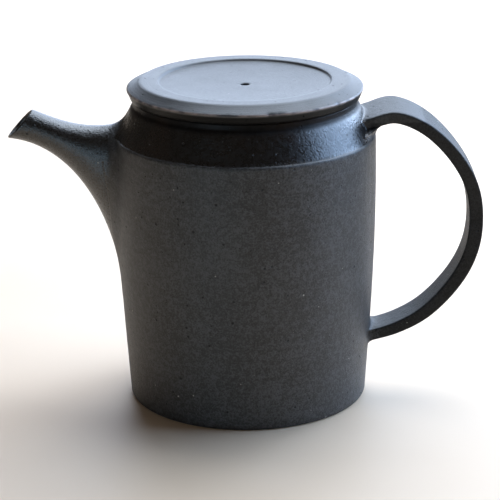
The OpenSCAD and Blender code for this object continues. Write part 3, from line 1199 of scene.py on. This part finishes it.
@dataclass
class StrapHandle:
    """The flat strap, wide at the shoulder, narrow down the back, luted on at both ends."""

    path: tuple = ((39, 108.8), (48, 111.9), (58, 114.1), (69.5, 109), (80, 98.5), (87.2, 86),
                   (89.7, 73), (88.2, 59), (82, 46), (71, 33.8), (59, 26.8), (46, 23))
    top_w: float = 28.0
    mid_w: float = 13.8
    foot_w: float = 16.0
    top_z: float = 117.0
    mid_z: float = 73.0
    end_t: float = 4.2
    mid_t: float = 5.5
    corner: float = 0.7
    per_span: int = 12
    top_reach: tuple = (1.6, 0.9, 5.5)
    top_web: float = 1.0
    top_feather: float = 1.0
    foot_web: float = 0.1
    foot_reach: tuple = (3.0, 2.4, 4.0)

    def width(self, z: float) -> float:
        """Width of the strap at a height."""
        if z > self.mid_z:
            share = (z - self.mid_z) / (self.top_z - self.mid_z)
            return self.mid_w + (self.top_w - self.mid_w) * share**1.3
        return self.mid_w + (self.foot_w - self.mid_w) * (self.mid_z - z) / self.mid_z

    def section(self, width: float, thick: float) -> np.ndarray:
        """Rounded rectangle, as across and outward offsets.

        Args:
            width: Size across the strap.
            thick: Size through it.

        Returns:
            The outline's points, as rows.
        """
        w, t, c = width / 2, thick / 2, self.corner
        flat = np.linspace(-1, 1, 13)[1:-1]
        rows = []
        rows += arc((w - c, t - c), c, 0, 90, 5)
        rows += [(-(w - c) * k, t) for k in flat]
        rows += arc((c - w, t - c), c, 90, 180, 5)
        rows += [(-w, -(t - c) * k) for k in (-0.5, 0, 0.5)]
        rows += arc((c - w, c - t), c, 180, 270, 5)
        rows += [((w - c) * k, -t) for k in flat]
        rows += arc((w - c, c - t), c, 270, 360, 5)
        rows += [(w, (t - c) * k) for k in (-0.5, 0, 0.5)]
        return np.array(rows)

    def rings(self) -> np.ndarray:
        """Rings of the strap from its upper root to its foot."""
        path = smooth_path(self.path, self.per_span)
        ahead = unit(np.gradient(path, axis=0))
        out = np.stack([-ahead[:, 1], ahead[:, 0]], 1)
        rows = []
        for i, (point, side) in enumerate(zip(path, out)):
            share = i / (len(path) - 1)
            thick = self.end_t + (self.mid_t - self.end_t) * math.sin(math.pi * share**1.5)
            shape = self.section(self.width(point[1]), thick)
            place = point + shape[:, 1:] * side
            rows.append(np.stack([place[:, 0], shape[:, 0], place[:, 1]], 1))
        return np.array(rows)

    def reach(self, lengths: tuple, across: np.ndarray, outward_part: np.ndarray) -> np.ndarray:
        """Length of the blend for each side of the strap.

        Args:
            lengths: Length on the outer face, on the edges and on the inner face.
            across: Share of the half width of each point, from -1 to 1.
            outward_part: Share of the half thickness, 1 on the outer face.

        Returns:
            One length per side.
        """
        outer, edge, inner = lengths
        face = np.where(outward_part > 0, outer, inner)
        edgewise = np.clip((np.abs(across) - 0.55) / 0.45, 0, 1) ** 2
        return face + (edge - face) * edgewise

    def build(self, luting: Luting, finishes: Finishes) -> list:
        """Makes the strap and the clay at its two ends.

        Args:
            luting: Blends the strap into the pot.
            finishes: The materials.

        Returns:
            The strap, the clay at its upper root and the clay at its foot.
        """
        rings = self.rings()
        half = len(rings) // 2
        shape = self.section(2.0, 2.0 * 0.3)
        across = shape[:, 0] / np.abs(shape[:, 0]).max()
        outer_part = shape[:, 1] / np.abs(shape[:, 1]).max()
        ends = []
        for lengths, ways in ((self.top_reach, rings[half::-1]), (self.foot_reach, rings[half:])):
            ways = ways.transpose(1, 0, 2)
            reach = self.reach(lengths, across, outer_part)
            begin, entry, hit = luting.meet(ways, reach)
            ends.append((ways, reach, begin, entry, hit))
        steps = np.linspace(0, 1, 70)
        top_ways, _, top_begin, top_entry, _ = ends[0]
        foot_ways, _, foot_begin, foot_entry, _ = ends[1]
        top = [cut_at(top_ways, top_entry + 1.0)] + [cut_at(top_ways, top_begin * (1 - k))
                                                     for k in steps]
        foot = [cut_at(foot_ways, foot_begin * k) for k in steps[1:]]
        foot.append(cut_at(foot_ways, foot_entry + 1.0))
        pieces = [swept("strap_handle", np.array(top + foot), sharp=50, capped=True)]
        short = Luting(luting.surface, feather=self.top_feather)
        rolls = (("upper_clay_roll", self.top_web, short),
                 ("foot_clay_roll", self.foot_web, luting))
        for (name, web, clay), (ways, reach, begin, entry, hit) in zip(rolls, ends):
            fill = np.where(outer_part < 0, web, 0.0)
            collar = clay.rings(ways, begin, hit, hit.mean(0), reach, fill)
            centre = ways.mean(0, keepdims=True)
            inset = ways + unit(centre - ways) * 0.5
            behind = np.array([cut_at(inset, begin + (entry - begin) * k)
                               for k in np.linspace(1, 0, 4)])
            pieces.append(swept(name, np.concatenate([collar, behind]), sharp=60))
        for piece in pieces:
            piece.data.materials.append(finishes.body)
        return pieces


@dataclass
class Lid:
    """The flat lid with its bevelled rim, sunk middle, steam hole and locating flange.

    Each flake broken out of the rim is an angle in degrees, a width and a depth.
    """

    seat_z: float
    thick: float
    rim_r: float
    flange_r: float
    flange_h: float
    under_r: float = 44.5
    rim_h: float = 3.8
    ring_r: float = 40.4
    recess_r: float = 33.5
    recess_depth: float = 0.9
    dish: float = 1.2
    vent_r: float = 1.7
    flange_t: float = 3.2
    longest_step: float = 1.4
    disc_wheel: Wheel = Wheel(384, out_of_round=0.12, ring_depth=0.04, ring_spacing=2.0, seed=11.0)
    ring_wheel: Wheel = Wheel(160, out_of_round=0.1, ring_depth=0.05, ring_spacing=2.4, seed=5.0)
    flakes: tuple = ((-78.6, 1.0, 0.5), (-76.6, 0.8, 0.45), (-73.8, 1.0, 0.5), (-71.6, 0.7, 0.35),
                     (-128.0, 0.8, 0.35), (-98.0, 0.7, 0.3), (-40.0, 1.0, 0.4), (35.0, 1.3, 0.5),
                     (150.0, 1.1, 0.4))

    @classmethod
    def from_frame(cls) -> "Lid":
        """The lid at the place and size that the CAD gives it."""
        low, high = cad_corners("lid_disc")
        flange_low, flange_high = cad_corners("lid_flange")
        return cls(seat_z=low[2], thick=high[2] - low[2], rim_r=high[0],
                   flange_r=flange_high[0], flange_h=flange_high[2] - flange_low[2])

    def outline(self) -> list:
        """Closed outline of the disc, from the bottom of the steam hole round to its start."""
        top, sunk = self.thick, self.thick - self.recess_depth
        vent = [(self.vent_r + 0.4, 0.0), (self.under_r - 0.6, 0.0), (self.under_r, 0.35)]
        side = [(self.under_r + 0.35, 1.2), (self.under_r + 0.7, 2.1),
                (self.rim_r - 0.25, self.rim_h - 0.95)]
        edge = [(self.rim_r - 0.04, self.rim_h - 0.55), (self.rim_r, self.rim_h - 0.25),
                (self.rim_r - 0.15, self.rim_h + 0.05)]
        bevel = [(self.rim_r - 0.6, self.rim_h + 0.3), (self.rim_r - 2.0, self.rim_h + 0.95),
                 (self.ring_r + 0.8, top - 0.45), (self.ring_r + 0.25, top - 0.12)]
        ring = [(self.ring_r - 0.4, top), (self.recess_r + 0.35, top),
                (self.recess_r + 0.06, top - 0.12), (self.recess_r - 0.25, top - 0.5),
                (self.recess_r - 0.5, sunk + 0.1), (self.recess_r - 0.9, sunk)]
        reach = self.recess_r - 0.9
        ring += [(reach * k, sunk - self.dish * (1 - k * k)) for k in np.linspace(0.94, 0.1, 15)]
        low = sunk - self.dish
        hole = [(self.vent_r + 0.35, low), (self.vent_r + 0.08, low - 0.12),
                (self.vent_r, low - 0.4), (self.vent_r, 0.4), (self.vent_r + 0.4, 0.0)]
        return vent + side + edge + bevel + ring + hole

    def build(self, tree: NodeTree, finishes: Finishes) -> list:
        """Turns the disc and its flange.

        Args:
            tree: The tree that turns an outline.
            finishes: The materials.

        Returns:
            The disc and the flange.
        """
        disc = turn_outline("turned_lid", self.lifted(self.outline()), tree, finishes.lid,
                            self.disc_wheel)
        self.chip(disc)
        low, out, inn = -self.flange_h, self.flange_r, self.flange_r - self.flange_t
        section = [(inn + 0.8, low)] + arc((out - 0.9, low + 0.9), 0.9, -90, 0, 4)
        section += [(out, 0.0), (inn, 0.0)]
        section += arc((inn + 0.8, low + 0.8), 0.8, 180, 270, 4)
        ring = turn_outline("lid_locating_ring", self.lifted(section), tree, finishes.inner,
                            self.ring_wheel)
        return [soften(disc, 40), soften(ring, 40)]

    def lifted(self, section: list) -> np.ndarray:
        """A refined outline, moved up from the lid's own base to its seat."""
        return refine([(r, z + self.seat_z) for r, z in section], self.longest_step)

    def chip(self, disc: bpy.types.Object) -> None:
        """Breaks a few small flakes out of the rim's sharp edge.

        Args:
            disc: The turned disc.
        """
        mesh = disc.data
        count = len(mesh.vertices)
        points = np.empty(count * 3)
        mesh.vertices.foreach_get("co", points)
        points = points.reshape(-1, 3) / MM
        rim_z = self.seat_z + self.rim_h
        for angle, wide, deep in self.flakes:
            a = math.radians(angle)
            centre = np.array([self.rim_r * math.cos(a), self.rim_r * math.sin(a), rim_z])
            away = points - centre
            share = np.exp(-(away**2).sum(1) / wide**2)
            inward = np.array([-math.cos(a), -math.sin(a), -0.35])
            points += share[:, None] * inward * deep
        mesh.vertices.foreach_set("co", (points * MM).ravel())
        mesh.update()


# --- Stage ---


@dataclass(frozen=True)
class Lamp:
    """A soft area lamp: its place, the point it faces, its width and height, all in mm."""

    name: str
    place: tuple
    target: tuple
    size: tuple
    watts: float
    colour: tuple

    def build(self) -> None:
        """Makes the lamp, which the camera does not see."""
        data = bpy.data.lights.new(self.name, "AREA")
        data.shape = "RECTANGLE"
        data.size, data.size_y = self.size[0] * MM, self.size[1] * MM
        data.energy = self.watts
        data.color = self.colour
        made = bpy.data.objects.new(self.name, data)
        bpy.context.scene.collection.objects.link(made)
        made.location = Vector(self.place) * MM
        made.visible_camera = False
        aim = Vector(self.target) - Vector(self.place)
        made.rotation_euler = aim.to_track_quat("-Z", "Y").to_euler()


@dataclass
class Stage:
    """Floor, soft lamps and camera."""

    distance: float = 850.0
    elevation: float = 18.33
    roll: float = -0.584
    target: tuple = (1.27, 0.0, 57.47)
    lens: float = 154.9
    sensor_w: float = 36.0
    floor_half: float = 3000.0
    sky_colour: tuple = (1.0, 0.83, 0.68, 1)
    sky_strength: float = 0.07
    lamps: tuple = (
        Lamp("window_back", (310, 800, 390), (0, 0, 80), (1400, 640), 10.8, (0.66, 0.79, 1.0)),
        Lamp("window_right", (725, 250, 460), (0, 0, 90), (1050, 550), 13.4, (0.45, 0.66, 1.0)),
        Lamp("skylight", (150, 400, 900), (0, 0, 80), (800, 700), 10.5, (0.74, 0.85, 1.0)),
        Lamp("room_front", (-480, -860, 110), (0, 0, 60), (300, 260), 1.1, (0.5, 0.76, 1.0)),
    )

    def build(self) -> None:
        """Makes the floor, the lamps, the sky and the camera."""
        self.floor()
        for lamp in self.lamps:
            lamp.build()
        self.sky()
        self.camera()

    def floor(self) -> None:
        """Pale floor under the pot."""
        half = self.floor_half
        points = np.array([(-half, -half, 0), (half, -half, 0), (half, half, 0), (-half, half, 0)])
        floor = mesh_object("pale_floor", points, [(0, 1, 2, 3)])
        floor.data.materials.append(PaleTable().build())

    def sky(self) -> None:
        """Plain pale surroundings."""
        world = bpy.data.worlds.new("studio")
        world.use_nodes = True
        bpy.context.scene.world = world
        shade = world.node_tree.nodes["Background"]
        shade.inputs["Color"].default_value = self.sky_colour
        shade.inputs["Strength"].default_value = self.sky_strength

    def camera(self) -> None:
        """Long lens from in front and a little above."""
        data = bpy.data.cameras.new("camera")
        data.lens = self.lens
        data.sensor_width = self.sensor_w
        data.clip_start, data.clip_end = 0.01, 20
        made = bpy.data.objects.new("camera", data)
        bpy.context.scene.collection.objects.link(made)
        rise, lean = math.radians(self.elevation), math.radians(self.roll)
        back = Vector((0, -math.cos(rise), math.sin(rise)))
        up = Vector((0, math.sin(rise), math.cos(rise)))
        right = Vector((1, 0, 0))
        x_axis = right * math.cos(lean) + up * math.sin(lean)
        y_axis = up * math.cos(lean) - right * math.sin(lean)
        turn = Matrix((x_axis, y_axis, back)).transposed()
        made.matrix_world = (Matrix.Translation((Vector(self.target) + back * self.distance) * MM)
                             @ turn.to_4x4())
        bpy.context.scene.camera = made
        bpy.context.scene.view_settings.view_transform = "Standard"


# --- Assembly ---


def settle_piece(piece: bpy.types.Object, body: Body, slot: Slot, *nodes: str) -> None:
    """Ties a finished piece to its body and hides the CAD nodes that it stands for.

    Args:
        piece: The finished piece.
        body: The body that it rides on.
        slot: Not used.
        *nodes: The CAD nodes that it stands for.
    """
    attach(piece, body.value)
    if nodes:
        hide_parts(*nodes)
    LOG.info("%s: %d faces on %s", piece.name, len(piece.data.polygons), body.value)


def main() -> None:
    logging.basicConfig(level=logging.INFO, format="%(name)s: %(message)s")
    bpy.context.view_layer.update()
    finishes = Finishes()
    turning = turned_tree()

    shell = PotShell(rim_z=cad_corners("pot_body")[1][2])
    pot = shell.build(turning, finishes)
    settle_piece(pot, Body.POT, Slot.BODY, "pot_body")

    luting = Luting(PotSurface(np.array(shell.outside())))
    spout, spout_clay = Spout.from_frame().build(luting, finishes)
    settle_piece(spout, Body.POT, Slot.BODY, "spout")
    settle_piece(spout_clay, Body.POT, Slot.BODY, "spout_luting")

    strap, upper_clay, foot_clay = StrapHandle().build(luting, finishes)
    settle_piece(strap, Body.POT, Slot.BODY, "handle")
    settle_piece(upper_clay, Body.POT, Slot.BODY, "handle_top_luting")
    settle_piece(foot_clay, Body.POT, Slot.BODY, "handle_foot_luting")

    disc, ring = Lid.from_frame().build(turning, finishes)
    settle_piece(disc, Body.LID, Slot.LID, "lid_disc")
    settle_piece(ring, Body.LID, Slot.INNER, "lid_flange")

    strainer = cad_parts["strainer"]
    strainer.data.materials.clear()
    strainer.data.materials.append(finishes.inner)

    Stage().build()


if __name__ == "__main__":
    main()
